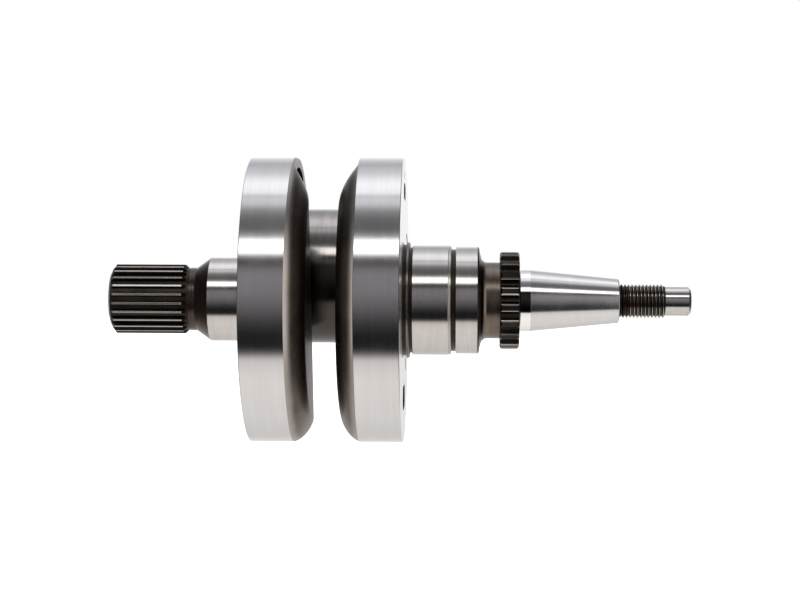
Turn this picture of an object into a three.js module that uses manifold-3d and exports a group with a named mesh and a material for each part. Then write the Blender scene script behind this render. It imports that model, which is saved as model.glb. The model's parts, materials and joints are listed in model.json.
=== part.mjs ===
// Built-up crankshaft of a single-cylinder engine, with its connecting rod and big-end bearing.
// Millimetres. The shaft lies along X with the magneto taper at +X, Z is up, and the origin is on
// the shaft's axis, midway between the inner faces of the two webs.
import * as THREE from "three";
import { mergeVertices } from "three/addons/utils/BufferGeometryUtils.js";
import Module from "manifold-3d";

const wasm = await Module();
wasm.setup();

// Driving dimensions: radii and distances along X
const webRadius = 59.4;
const webChamfer = 1;
const webInnerFace = 12.95; // of both webs, from the middle plane
const driveWebOuterFace = -32.2;
const magnetoWebOuterFace = 31.2;
const shaftOverlap = 8; // how far each shaft's blank reaches into its web

// Counterweight bulge on the inner face of each web
const driveBulgeHeight = 6.6;
const magnetoBulgeHeight = 7.4;
const bulgeRimWidth = 8.4; // from the rim to the start of the plateau
const bulgeBaseLine = 3; // where the bulge's straight edge leaves the web, beyond the shaft's axis
const bulgePlateauLine = 11.5;
const bulgeSteps = 6;

// Crankpin, pressed through both webs
const crankThrow = 31.3;
const pinAngle = THREE.MathUtils.degToRad(19.2); // from +Y towards +Z
const pinRadius = 18;
const pinBoreRadius = 7.5;
const plugLength = 7;
const plugRecess = 1.2;
const pressGap = 0.02;

// Drive shaft with its spline
const splineStart = -91.3;
const splineEnd = -58.4;
const splineTeeth = 24;
const splineFirstTooth = 7.5; // degrees from +Y towards +Z
const splineTipRadius = 14.55;
const splineRootRadius = 13;
const splineEndRadius = 11.7;
const splineEndChamfer = 2;
const splineRunout = 2.2;
const splineLandPart = 0.22; // of one pitch, at the tip
const splineGapPart = 0.48; // of one pitch, at the root
const driveJournalRadius = 17.5;
const driveJournalStart = -49.6;
const driveNeckRadius = 13.1;
const driveNeckEnd = -55.5;

// Magneto shaft: thrust shoulder, two ground journals, sprocket seat, taper, thread and pilot
const shoulderRecessRadius = 23.2;
const thrustShoulderRadius = 24.2;
const thrustShoulderStart = 32.3;
const thrustShoulderEnd = 33.7;
const mainJournalRadius = 22.9;
const mainJournalStart = 34.8;
const mainJournalEnd = 51;
const sealJournalRadius = 22.35;
const sealJournalStart = 52.7;
const sealJournalEnd = 62.6;
const journalReliefRadius = 22;
const oilGrooveRadius = 21.25;
const magnetoNeckRadius = 15.9;
const magnetoNeckStart = 65.8;
const neckFilletRadius = 2.6;
const sprocketSeatRadius = 13.75;
const sprocketStart = 71.1;
const sprocketWidth = 8.1;
const taperCollarRadius = 12.875;
const taperStart = 83.8;
const taperStartRadius = 12.8;
const taperEnd = 120.6;
const taperEndRadius = 9.2;
const threadStart = 121;
const threadEnd = 139.7;
const threadRadius = 6.9;
const pilotRadius = 6;
const pilotEnd = 150.4;
const keySeatMiddle = 99;
const keySeatWidth = 4;
const keySeatCutterRadius = 9.5;
const keySeatDepth = 2.4;
const centreHoleRadius = 3;
const centreHoleDepth = 6;

// Timing sprocket
const sprocketTeeth = 18;
const sprocketFirstTooth = 9; // degrees from +Y towards +Z
const sprocketTipRadius = 20.3;
const sprocketRootRadius = 17.8;
const sprocketTipPart = 0.4; // of one pitch
const sprocketGapPart = 0.2;
const sprocketChamfer = 0.7;

// Lightening holes through each web, and balance pockets drilled into its outer face
const driveLighteningHoles = [{ angle: 88, radius: 48.8, width: 13, halfSweep: 15 }];
const magnetoLighteningHoles = [
  { angle: 88, radius: 45.6, width: 6.8, halfSweep: 8 },
  { angle: 90, radius: 52.3, width: 3.6, halfSweep: 0 },
];
const pocketDepth = 9;
const balancePockets = [
  { angle: -88, radius: 41, width: 10, halfSweep: 10 },
  { angle: -54, radius: 33.6, width: 6.4, halfSweep: 0 },
];

// Big end, from the pin outwards
const rollerCount = 16;
const rollerRadius = 2.47;
const rollerLength = 15.6;
const rollerPitchRadius = 20.5;
const cageInnerRadius = 19.2;
const cageOuterRadius = 21.8;
const cageWidth = 21.2;
const cagePocketHalfWidth = 2.53;
const cagePocketLength = 15.9;
const bigEndBoreRadius = 23;
const bigEndRadius = 29;
const bigEndWidth = 21.9;
const washerBoreRadius = 18.06;
const washerRadius = 25;
const washerThickness = 1.7;
const washerSideGap = 0.15;

// Rod and small end
const rodLength = 109;
const shankThickness = 9.2;
const shankHalfHeightAtBigEnd = 12.5;
const shankHalfHeightAtSmallEnd = 9.5;
const shankWebThickness = 3.4;
const shankFlange = 3.2;
const smallEndRadius = 15;
const smallEndWidth = 20;
const smallEndBoreRadius = 11.2;
const bushBoreRadius = 9.5;
const bushGap = 0.03;

// How finely round things are divided
const webSegments = 72;
const shaftSegments = 36;
const rollerSegments = 12;

const pinY = crankThrow * Math.cos(pinAngle);
const pinZ = crankThrow * Math.sin(pinAngle);
const counterweightWay = new THREE.Vector3(0, -Math.cos(pinAngle), -Math.sin(pinAngle));
const shaftWay = new THREE.Vector3(1, 0, 0);

const finishes = {
  groundSteel: { color: 0xb9b8b6, roughness: 0.25, metalness: 1 },
  forgedSteel: { color: 0x8b8784, roughness: 0.4, metalness: 1 },
  darkSteel: { color: 0x3d3732, roughness: 0.45, metalness: 1 },
  rodSteel: { color: 0x77736f, roughness: 0.45, metalness: 1 },
  bearingSteel: { color: 0xc9c9cb, roughness: 0.15, metalness: 1 },
  washerSteel: { color: 0xa88f62, roughness: 0.4, metalness: 1 },
  bronze: { color: 0xb38a4a, roughness: 0.35, metalness: 1 },
};

// A closed geometry as a solid that can be joined and cut
function solid(geometry) {
  geometry.deleteAttribute("normal");
  geometry.deleteAttribute("uv");
  const merged = mergeVertices(geometry, 1e-4);
  return new wasm.Manifold(
    new wasm.Mesh({
      numProp: 3,
      vertProperties: merged.attributes.position.array,
      triVerts: new Uint32Array(merged.index.array),
    }),
  );
}

function addPiece(group, name, shape, finish) {
  const { numProp, vertProperties, triVerts } = shape.getMesh();
  const positions = [];
  for (let i = 0; i < vertProperties.length; i += numProp) {
    positions.push(vertProperties[i], vertProperties[i + 1], vertProperties[i + 2]);
  }
  const geometry = new THREE.BufferGeometry();
  geometry.setAttribute("position", new THREE.Float32BufferAttribute(positions, 3));
  geometry.setIndex(Array.from(triVerts));
  geometry.computeVertexNormals();
  const mesh = new THREE.Mesh(geometry, new THREE.MeshStandardMaterial(finishes[finish]));
  mesh.name = name;
  group.add(mesh);
  return mesh;
}

// The radius whose polygon of this many sides has its flats at r, for a bore
const aroundRadius = (r, segments) => r / Math.cos(Math.PI / segments);

// A solid of revolution about X from [x, radius] pairs in the order of rising x
function turned(profile, segments) {
  const ends = [[profile[0][0], 0], ...profile, [profile[profile.length - 1][0], 0]];
  const points = ends.map(([x, r]) => new THREE.Vector2(r, x));
  return solid(new THREE.LatheGeometry(points, segments).rotateZ(-Math.PI / 2));
}

// A ring about X between two radii: its bore has flats at innerRadius, its outside has corners there
function ring(low, high, innerRadius, outerRadius, segments) {
  const hole = aroundRadius(innerRadius, segments);
  return turned([[low, outerRadius], [high, outerRadius]], segments).subtract(
    turned([[low - 1, hole], [high + 1, hole]], segments),
  );
}

// A flat outline drawn in Y and Z, as thick as from low to high along X
function plate(outline, low, high) {
  const along = new THREE.Matrix4().makeBasis(
    new THREE.Vector3(0, 1, 0),
    new THREE.Vector3(0, 0, 1),
    shaftWay,
  );
  const geometry = new THREE.ExtrudeGeometry(outline, {
    depth: high - low,
    bevelEnabled: false,
    curveSegments: 8,
  });
  return solid(geometry.applyMatrix4(along).translate(low, 0, 0));
}

// A solid of revolution whose axis is parallel to X through the crankpin's centre
const atPin = (shape) => shape.translate([0, pinY, pinZ]);

// A kidney-shaped outline on a circle about the shaft, with round ends: a round one without a sweep
function kidney({ angle, radius, width, halfSweep }) {
  const middle = THREE.MathUtils.degToRad(angle);
  const sweep = THREE.MathUtils.degToRad(halfSweep);
  const half = width / 2;
  const first = middle - sweep;
  const last = middle + sweep;
  const outline = new THREE.Shape();
  if (halfSweep === 0) {
    outline.absarc(radius * Math.cos(middle), radius * Math.sin(middle), half, 0, 2 * Math.PI, false);
    return outline;
  }
  outline.absarc(0, 0, radius + half, first, last, false);
  outline.absarc(radius * Math.cos(last), radius * Math.sin(last), half, last, last + Math.PI, false);
  outline.absarc(0, 0, radius - half, last, first, true);
  outline.absarc(
    radius * Math.cos(first),
    radius * Math.sin(first),
    half,
    first + Math.PI,
    first + 2 * Math.PI,
    false,
  );
  return outline;
}

// The bulge of forged metal on a web's inner face, on the side away from the crankpin. Its edge is a
// quarter round, both along the rim and along the straight edge. side is -1 on the drive web.
function counterweightBulge(side, height) {
  const rise = [];
  for (let i = 0; i <= bulgeSteps; i++) {
    const turn = (i / bulgeSteps) * (Math.PI / 2);
    rise.push([Math.cos(turn), Math.sin(turn)]);
  }
  const buried = side * (webInnerFace + 2);
  const rimProfile = rise.map(([out, up]) => [
    side * (webInnerFace - height * up),
    webRadius - webChamfer - bulgeRimWidth + bulgeRimWidth * out,
  ]);
  rimProfile.unshift([buried, webRadius - webChamfer]);
  if (side > 0) rimProfile.reverse();

  const edgeWidth = bulgePlateauLine - bulgeBaseLine;
  const section = new THREE.Shape();
  section.moveTo(webRadius + 2, buried);
  section.lineTo(bulgeBaseLine, buried);
  for (const [out, up] of rise) {
    section.lineTo(bulgePlateauLine - edgeWidth * out, side * (webInnerFace - height * up));
  }
  section.lineTo(webRadius + 2, side * (webInnerFace - height));
  section.closePath();
  const across = new THREE.Vector3().crossVectors(counterweightWay, shaftWay);
  const geometry = new THREE.ExtrudeGeometry(section, {
    depth: 2 * webRadius + 10,
    bevelEnabled: false,
  });
  geometry.translate(0, 0, -webRadius - 5);
  geometry.applyMatrix4(new THREE.Matrix4().makeBasis(counterweightWay, shaftWay, across));
  return turned(rimProfile, webSegments).intersect(solid(geometry));
}

// A disc web with its bulge, pin bore, lightening holes and balance pockets
function web(side, outerFace, bulgeHeight, lighteningHoles) {
  const low = side < 0 ? outerFace : webInnerFace;
  const high = side < 0 ? -webInnerFace : outerFace;
  const disc = turned(
    [
      [low, webRadius - webChamfer],
      [low + webChamfer, webRadius],
      [high - webChamfer, webRadius],
      [high, webRadius - webChamfer],
    ],
    webSegments,
  );
  const boreRadius = aroundRadius(pinRadius + pressGap, shaftSegments);
  const bore = atPin(turned([[low - 5, boreRadius], [high + 5, boreRadius]], shaftSegments));
  let shape = disc.add(counterweightBulge(side, bulgeHeight)).subtract(bore);
  for (const hole of lighteningHoles) {
    shape = shape.subtract(plate(kidney(hole), low - 12, high + 12));
  }
  const pocketFloor = outerFace - side * pocketDepth;
  for (const pocket of balancePockets) {
    const outside = outerFace + side;
    const floorToFace = [pocketFloor, outside].sort((a, b) => a - b);
    shape = shape.subtract(plate(kidney(pocket), ...floorToFace));
  }
  return shape;
}

// A shaft's outline with trapezoidal teeth, drawn in Y and Z
function toothed(teeth, firstTooth, rootRadius, tipRadius, rootPart, tipPart) {
  const pitch = (2 * Math.PI) / teeth;
  const firstAngle = THREE.MathUtils.degToRad(firstTooth);
  const corners = [
    [rootRadius, -0.5 + rootPart / 2],
    [tipRadius, -tipPart / 2],
    [tipRadius, tipPart / 2],
    [rootRadius, 0.5 - rootPart / 2],
  ];
  const points = [];
  for (let tooth = 0; tooth < teeth; tooth++) {
    for (const [radius, part] of corners) {
      const angle = firstAngle + (tooth + part) * pitch;
      points.push(new THREE.Vector2(radius * Math.cos(angle), radius * Math.sin(angle)));
    }
  }
  return new THREE.Shape(points);
}

// A lathe centre's cone, opening at x towards way (+1 or -1)
function centreHole(x, way) {
  const cone = [
    [x + way * 0.5, centreHoleRadius + 0.3],
    [x - way * centreHoleDepth * 0.6, centreHoleRadius * 0.4],
    [x - way * centreHoleDepth, centreHoleRadius * 0.4],
  ];
  return turned(way > 0 ? cone.reverse() : cone, 16);
}

function driveHalf() {
  const teeth = toothed(
    splineTeeth,
    splineFirstTooth,
    splineRootRadius,
    splineTipRadius,
    splineGapPart,
    splineLandPart,
  );
  const blank = turned(
    [
      [splineStart, splineEndRadius],
      [splineStart + splineEndChamfer, splineTipRadius + 0.05],
      [splineEnd - splineRunout, splineTipRadius + 0.05],
      [splineEnd, driveNeckRadius],
    ],
    shaftSegments,
  );
  const spline = plate(teeth, splineStart - 1, splineEnd + 1).intersect(blank);
  const shaft = turned(
    [
      [splineEnd - 4, driveNeckRadius],
      [driveNeckEnd, driveNeckRadius],
      [driveJournalStart, driveJournalRadius],
      [driveWebOuterFace + shaftOverlap, driveJournalRadius],
    ],
    shaftSegments,
  );
  const discWeb = web(-1, driveWebOuterFace, driveBulgeHeight, driveLighteningHoles);
  return discWeb.add(shaft).add(spline).subtract(centreHole(splineStart, -1)).subtract(pinHole());
}

// The pin's bore again, because the shaft's blank reaches into it inside the web
function pinHole() {
  const radius = aroundRadius(pinRadius + pressGap, shaftSegments);
  return atPin(turned([[driveWebOuterFace, radius], [magnetoWebOuterFace, radius]], shaftSegments));
}

function magnetoHalf() {
  const filletTop = magnetoNeckRadius + neckFilletRadius;
  const shaft = turned(
    [
      [magnetoWebOuterFace - shaftOverlap, shoulderRecessRadius],
      [thrustShoulderStart, shoulderRecessRadius],
      [thrustShoulderStart, thrustShoulderRadius],
      [thrustShoulderEnd, thrustShoulderRadius],
      [thrustShoulderEnd, journalReliefRadius],
      [mainJournalStart, journalReliefRadius],
      [mainJournalStart, mainJournalRadius],
      [mainJournalEnd - 1, mainJournalRadius],
      [mainJournalEnd, mainJournalRadius - 0.6],
      [mainJournalEnd, oilGrooveRadius],
      [sealJournalStart, oilGrooveRadius],
      [sealJournalStart, sealJournalRadius - 0.4],
      [sealJournalStart + 0.4, sealJournalRadius],
      [sealJournalEnd - 0.8, sealJournalRadius],
      [sealJournalEnd, sealJournalRadius - 0.8],
      [magnetoNeckStart - neckFilletRadius, filletTop],
      [magnetoNeckStart - neckFilletRadius * 0.7, filletTop - neckFilletRadius * 0.7],
      [magnetoNeckStart, magnetoNeckRadius],
      [sprocketStart, magnetoNeckRadius],
      [sprocketStart, sprocketSeatRadius],
      [sprocketStart + sprocketWidth - 0.3, sprocketSeatRadius],
      [sprocketStart + sprocketWidth + 0.5, taperCollarRadius],
      [taperStart, taperCollarRadius],
      [taperStart, taperStartRadius],
      [taperEnd - 0.2, taperEndRadius],
      [taperEnd, taperEndRadius - 0.3],
      [taperEnd, pilotRadius],
      [threadStart, pilotRadius],
      [threadStart + 0.3, threadRadius],
      [threadEnd - 0.6, threadRadius],
      [threadEnd, pilotRadius],
      [pilotEnd - 1, pilotRadius],
      [pilotEnd, pilotRadius - 1],
    ],
    shaftSegments,
  );
  const seatRadius = THREE.MathUtils.mapLinear(
    keySeatMiddle,
    taperStart,
    taperEnd,
    taperStartRadius,
    taperEndRadius,
  );
  const cutter = new THREE.CylinderGeometry(keySeatCutterRadius, keySeatCutterRadius, keySeatWidth, 32);
  cutter.rotateX(Math.PI / 2).translate(
    keySeatMiddle,
    seatRadius + keySeatCutterRadius - keySeatDepth,
    0,
  );
  const discWeb = web(1, magnetoWebOuterFace, magnetoBulgeHeight, magnetoLighteningHoles);
  return discWeb
    .add(shaft)
    .subtract(solid(cutter))
    .subtract(centreHole(pilotEnd, 1))
    .subtract(pinHole());
}

function timingSprocket() {
  const outline = toothed(
    sprocketTeeth,
    sprocketFirstTooth,
    sprocketRootRadius,
    sprocketTipRadius,
    sprocketGapPart,
    sprocketTipPart,
  );
  const low = sprocketStart + 0.05;
  const high = sprocketStart + sprocketWidth;
  const blank = turned(
    [
      [low, sprocketTipRadius - sprocketChamfer],
      [low + sprocketChamfer, sprocketTipRadius + 0.05],
      [high - sprocketChamfer, sprocketTipRadius + 0.05],
      [high, sprocketTipRadius - sprocketChamfer],
    ],
    sprocketTeeth * 4,
  );
  const bore = aroundRadius(sprocketSeatRadius + pressGap, shaftSegments);
  const teeth = plate(outline, low, high).intersect(blank);
  return teeth.subtract(turned([[low - 1, bore], [high + 1, bore]], shaftSegments));
}

function rollerCage() {
  let shape = ring(-cageWidth / 2, cageWidth / 2, cageInnerRadius, cageOuterRadius, shaftSegments);
  for (let roller = 0; roller < rollerCount; roller++) {
    const pocket = new THREE.BoxGeometry(cagePocketLength, 8, 2 * cagePocketHalfWidth);
    pocket.translate(0, rollerPitchRadius, 0).rotateX(rollerAngle(roller));
    shape = shape.subtract(solid(pocket));
  }
  return shape;
}

const rollerAngle = (roller) => (roller / rollerCount) * 2 * Math.PI;

// The I-section rod, drawn from the big end's centre with the small end at +Y
function connectingRod() {
  const bigEnd = turned([[-bigEndWidth / 2, bigEndRadius], [bigEndWidth / 2, bigEndRadius]], webSegments);
  const smallEndLine = [[-smallEndWidth / 2, smallEndRadius], [smallEndWidth / 2, smallEndRadius]];
  const smallEnd = turned(smallEndLine, shaftSegments).translate([0, rodLength, 0]);
  const shankStart = bigEndRadius + 12;
  const shankOutline = new THREE.Shape();
  shankOutline.moveTo(bigEndRadius * 0.6, -bigEndRadius * 0.7);
  shankOutline.quadraticCurveTo(bigEndRadius, -shankHalfHeightAtBigEnd, shankStart, -shankHalfHeightAtBigEnd);
  shankOutline.lineTo(rodLength - smallEndRadius, -shankHalfHeightAtSmallEnd);
  shankOutline.lineTo(rodLength, -shankHalfHeightAtSmallEnd);
  shankOutline.lineTo(rodLength, shankHalfHeightAtSmallEnd);
  shankOutline.lineTo(rodLength - smallEndRadius, shankHalfHeightAtSmallEnd);
  shankOutline.lineTo(shankStart, shankHalfHeightAtBigEnd);
  shankOutline.quadraticCurveTo(
    bigEndRadius,
    shankHalfHeightAtBigEnd,
    bigEndRadius * 0.6,
    bigEndRadius * 0.7,
  );
  shankOutline.closePath();
  const shank = plate(shankOutline, -shankThickness / 2, shankThickness / 2);

  const hollowStart = bigEndRadius + 8;
  const hollowEnd = rodLength - smallEndRadius - 4;
  const hollow = new THREE.Shape();
  const wide = shankHalfHeightAtBigEnd - shankFlange;
  const narrow = shankHalfHeightAtSmallEnd - shankFlange;
  hollow.moveTo(hollowStart + wide, -wide);
  hollow.lineTo(hollowEnd - narrow, -narrow);
  hollow.absarc(hollowEnd - narrow, 0, narrow, -Math.PI / 2, Math.PI / 2, false);
  hollow.lineTo(hollowStart + wide, wide);
  hollow.absarc(hollowStart + wide, 0, wide, Math.PI / 2, 1.5 * Math.PI, false);
  const channel = (low, high) => plate(hollow, low, high);

  const bigBore = aroundRadius(bigEndBoreRadius, webSegments);
  const smallBore = aroundRadius(smallEndBoreRadius + bushGap, shaftSegments);
  const smallBoreCut = turned([[-20, smallBore], [20, smallBore]], shaftSegments);
  return bigEnd
    .add(smallEnd)
    .add(shank)
    .subtract(turned([[-20, bigBore], [20, bigBore]], webSegments))
    .subtract(smallBoreCut.translate([0, rodLength, 0]))
    .subtract(channel(shankWebThickness / 2, shankThickness))
    .subtract(channel(-shankThickness, -shankWebThickness / 2));
}

const crankshaft = new THREE.Group();
addPiece(crankshaft, "drive_crank_half", driveHalf(), "forgedSteel");
addPiece(crankshaft, "magneto_crank_half", magnetoHalf(), "forgedSteel");
addPiece(crankshaft, "timing_sprocket", timingSprocket(), "darkSteel");

// Everything that turns about the crankpin is drawn about X and set at the pin's centre
const bigEndGroup = new THREE.Group();
bigEndGroup.position.set(0, pinY, pinZ);
crankshaft.add(bigEndGroup);

const pinLow = driveWebOuterFace + 0.2;
const pinHigh = magnetoWebOuterFace - 0.2;
const pinTube = ring(pinLow, pinHigh, pinBoreRadius, pinRadius, shaftSegments);
addPiece(bigEndGroup, "crankpin", pinTube, "groundSteel");
const plugRadius = pinBoreRadius - pressGap;
const plugEnds = {
  drive_pin_plug: [pinLow + plugRecess, pinLow + plugRecess + plugLength],
  magneto_pin_plug: [pinHigh - plugRecess - plugLength, pinHigh - plugRecess],
};
for (const [name, [low, high]] of Object.entries(plugEnds)) {
  addPiece(bigEndGroup, name, turned([[low, plugRadius], [high, plugRadius]], 24), "forgedSteel");
}

const washerFace = webInnerFace - washerSideGap;
const washerEnds = {
  drive_thrust_washer: [-washerFace, -washerFace + washerThickness],
  magneto_thrust_washer: [washerFace - washerThickness, washerFace],
};
for (const [name, [low, high]] of Object.entries(washerEnds)) {
  const washer = ring(low, high, washerBoreRadius, washerRadius, shaftSegments);
  addPiece(bigEndGroup, name, washer, "washerSteel");
}

addPiece(bigEndGroup, "connecting_rod", connectingRod(), "rodSteel");
const bush = ring(-smallEndWidth / 2, smallEndWidth / 2, bushBoreRadius, smallEndBoreRadius, shaftSegments);
addPiece(bigEndGroup, "small_end_bush", bush.translate([0, rodLength, 0]), "bronze");
addPiece(bigEndGroup, "big_end_cage", rollerCage(), "washerSteel");
for (let roller = 0; roller < rollerCount; roller++) {
  const barrel = turned(
    [
      [-rollerLength / 2, rollerRadius],
      [rollerLength / 2, rollerRadius],
    ],
    rollerSegments,
  );
  const angle = rollerAngle(roller);
  const name = "big_end_roller_" + String(roller + 1).padStart(2, "0");
  const mesh = addPiece(bigEndGroup, name, barrel, "bearingSteel");
  mesh.position.set(0, rollerPitchRadius * Math.cos(angle), rollerPitchRadius * Math.sin(angle));
}

export default crankshaft;
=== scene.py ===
import json
import math

import bmesh
import bpy
from mathutils import Matrix, Vector


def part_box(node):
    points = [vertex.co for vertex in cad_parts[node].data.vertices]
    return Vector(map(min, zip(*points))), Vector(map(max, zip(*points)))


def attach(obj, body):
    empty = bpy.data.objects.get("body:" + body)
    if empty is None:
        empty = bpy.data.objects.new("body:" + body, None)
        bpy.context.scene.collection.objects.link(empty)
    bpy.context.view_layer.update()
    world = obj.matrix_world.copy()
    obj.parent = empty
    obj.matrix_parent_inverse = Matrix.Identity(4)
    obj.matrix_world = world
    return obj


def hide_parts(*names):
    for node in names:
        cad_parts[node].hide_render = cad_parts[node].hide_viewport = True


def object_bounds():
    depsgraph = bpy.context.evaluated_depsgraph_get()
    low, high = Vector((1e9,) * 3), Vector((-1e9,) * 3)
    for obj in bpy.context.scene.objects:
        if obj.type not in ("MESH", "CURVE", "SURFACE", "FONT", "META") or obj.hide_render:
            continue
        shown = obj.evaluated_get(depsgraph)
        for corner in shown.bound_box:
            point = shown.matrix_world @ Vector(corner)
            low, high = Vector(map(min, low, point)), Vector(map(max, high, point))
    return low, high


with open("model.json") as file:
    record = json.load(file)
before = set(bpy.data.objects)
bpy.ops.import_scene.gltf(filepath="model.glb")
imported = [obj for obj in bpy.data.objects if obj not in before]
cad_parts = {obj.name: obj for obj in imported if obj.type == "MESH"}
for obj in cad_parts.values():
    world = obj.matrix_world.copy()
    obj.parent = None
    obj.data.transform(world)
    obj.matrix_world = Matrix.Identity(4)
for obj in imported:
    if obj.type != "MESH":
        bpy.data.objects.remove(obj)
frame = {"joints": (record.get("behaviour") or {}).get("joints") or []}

cadLow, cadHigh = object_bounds()

# The crank's axis is X. Sizes below are in millimetres, and mm makes them metres.
mm = 0.001
pinCentre = Vector(next(j for j in frame["joints"] if j["name"] == "rod_swing")["pos_m"])
smallEndCentre = sum(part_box("small_end_bush"), Vector()) / 2
counterweightWay = -pinCentre.normalized()
roundSteps = 192


def boxAlongX(node):
    low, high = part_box(node)
    return low.x / mm, high.x / mm


# Mesh helpers

def turned(profile, steps=roundSteps, closed=False):
    # a body of revolution about X from (x, radius) points; an open profile starts and ends on the axis
    bm = bmesh.new()
    verts = [bm.verts.new((x * mm, 0, radius * mm)) for x, radius in profile]
    pairs = list(zip(verts, verts[1:]))
    if closed:
        pairs.append((verts[-1], verts[0]))
    edges = [bm.edges.new(pair) for pair in pairs]
    bmesh.ops.spin(bm, geom=verts + edges, cent=(0, 0, 0), axis=(1, 0, 0), angle=2 * math.pi,
                   steps=steps, use_merge=True)
    return sealed(bm)


def sealed(bm):
    bmesh.ops.remove_doubles(bm, verts=bm.verts, dist=0.002 * mm)
    bmesh.ops.recalc_face_normals(bm, faces=bm.faces)
    return bm


def toObject(bm, name):
    mesh = bpy.data.meshes.new(name)
    bm.to_mesh(mesh)
    bm.free()
    piece = bpy.data.objects.new(name, mesh)
    bpy.context.scene.collection.objects.link(piece)
    return piece


def moved(bm, offset):
    bmesh.ops.translate(bm, vec=offset, verts=bm.verts)
    return bm


def combine(piece, other, operation):
    # joins or cuts the piece with another object, which is used up
    boolean = piece.modifiers.new("combine", "BOOLEAN")
    boolean.operation = operation
    boolean.solver = "MANIFOLD"
    boolean.object = other
    depsgraph = bpy.context.evaluated_depsgraph_get()
    mesh = bpy.data.meshes.new_from_object(piece.evaluated_get(depsgraph))
    piece.modifiers.clear()
    used = [piece.data, other.data]
    piece.data = mesh
    bpy.data.objects.remove(other)
    for old in used:
        bpy.data.meshes.remove(old)


def finished(piece, body, node, finishNames, pickFinish=None, sharpAngle=32):
    # smooth shading with crisp corners, a finish for each face, and the piece's place in the frame
    mesh = piece.data
    mesh.materials.clear()
    for name in finishNames:
        mesh.materials.append(finishes[name])
    for polygon in mesh.polygons:
        centre = polygon.center
        radius = math.hypot(centre.y, centre.z) / mm
        name = pickFinish(centre.x / mm, radius, polygon) if pickFinish else finishNames[0]
        polygon.material_index = finishNames.index(name)
    mesh.shade_smooth()
    mesh.set_sharp_from_angle(angle=math.radians(sharpAngle))
    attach(piece, body)
    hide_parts(node)
    return piece


# Shader helpers: an expression on wires adds the Math nodes that work it out

class Wire:
    def __init__(self, shader, socket):
        self.shader = shader
        self.socket = socket

    def maths(self, operation, *others):
        return self.shader.add("ShaderNodeMath", {"operation": operation}, [self, *others])

    def __add__(self, other):
        return self.maths("ADD", other)

    def __radd__(self, other):
        return self.maths("ADD", other)

    def __sub__(self, other):
        return self.maths("SUBTRACT", other)

    def __rsub__(self, other):
        return self.shader.add("ShaderNodeMath", {"operation": "SUBTRACT"}, [other, self])

    def __mul__(self, other):
        return self.maths("MULTIPLY", other)

    def __rmul__(self, other):
        return self.maths("MULTIPLY", other)

    def __truediv__(self, other):
        return self.maths("DIVIDE", other)

    def __pow__(self, other):
        return self.maths("POWER", other)

    def within(self, low, high):
        # 0 below low, 1 above high, smooth between
        settings = {"interpolation_type": "SMOOTHSTEP"}
        inputs = {"Value": self, "From Min": low, "From Max": high}
        return self.shader.add("ShaderNodeMapRange", settings, inputs)


class Shader:
    def __init__(self, tree):
        self.tree = tree
        tree.nodes.clear()

    def add(self, kind, settings=None, inputs=None, output=0):
        node = self.tree.nodes.new(kind)
        for key, value in (settings or {}).items():
            if key == "stops":
                self.setStops(node.color_ramp, value)
            else:
                setattr(node, key, value)
        pairs = inputs.items() if isinstance(inputs, dict) else enumerate(inputs or [])
        for key, value in pairs:
            self.feed(node.inputs[key], value)
        node.hide = True
        return Wire(self, node.outputs[output]) if node.outputs else node

    def feed(self, socket, value):
        if isinstance(value, Wire):
            self.tree.links.new(value.socket, socket)
        elif socket.type == "RGBA" and len(value) == 3:
            socket.default_value = (*value, 1)
        else:
            socket.default_value = value

    @staticmethod
    def setStops(ramp, stops):
        while len(ramp.elements) < len(stops):
            ramp.elements.new(0.5)
        for element, (place, value) in zip(ramp.elements, stops):
            element.position = place
            element.color = (*value, 1) if isinstance(value, tuple) else (value, value, value, 1)

    def mixColour(self, factor, first, second):
        settings = {"data_type": "RGBA"}
        return self.add("ShaderNodeMix", settings, {0: factor, 6: first, 7: second}, output=2)

    def objectPlace(self):
        return self.add("ShaderNodeTexCoord", output=3)

    def split(self, vector):
        parts = self.add("ShaderNodeSeparateXYZ", inputs=[vector]).socket.node
        return [Wire(self, output) for output in parts.outputs]

    def joinXyz(self, x, y, z):
        return self.add("ShaderNodeCombineXYZ", inputs=[x, y, z])

    def noise(self, place, scale, detail=3, roughness=0.5):
        inputs = {"Vector": place, "Scale": scale, "Detail": detail, "Roughness": roughness}
        return self.add("ShaderNodeTexNoise", {}, inputs)

    def bump(self, height, strength, distance):
        inputs = {"Strength": strength, "Distance": distance, "Height": height}
        return self.add("ShaderNodeBump", {}, inputs)

    def metal(self, colour, roughness, normal=None, **fixed):
        inputs = {"Base Color": colour, "Roughness": roughness, "Metallic": 1.0, **fixed}
        if normal:
            inputs["Normal"] = normal
        surface = self.add("ShaderNodeBsdfPrincipled", {}, inputs)
        self.add("ShaderNodeOutputMaterial", {}, {"Surface": surface})


def newMaterial(name):
    material = bpy.data.materials.new(name)
    material.use_nodes = True
    return material, Shader(material.node_tree)


# Finishes

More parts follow.
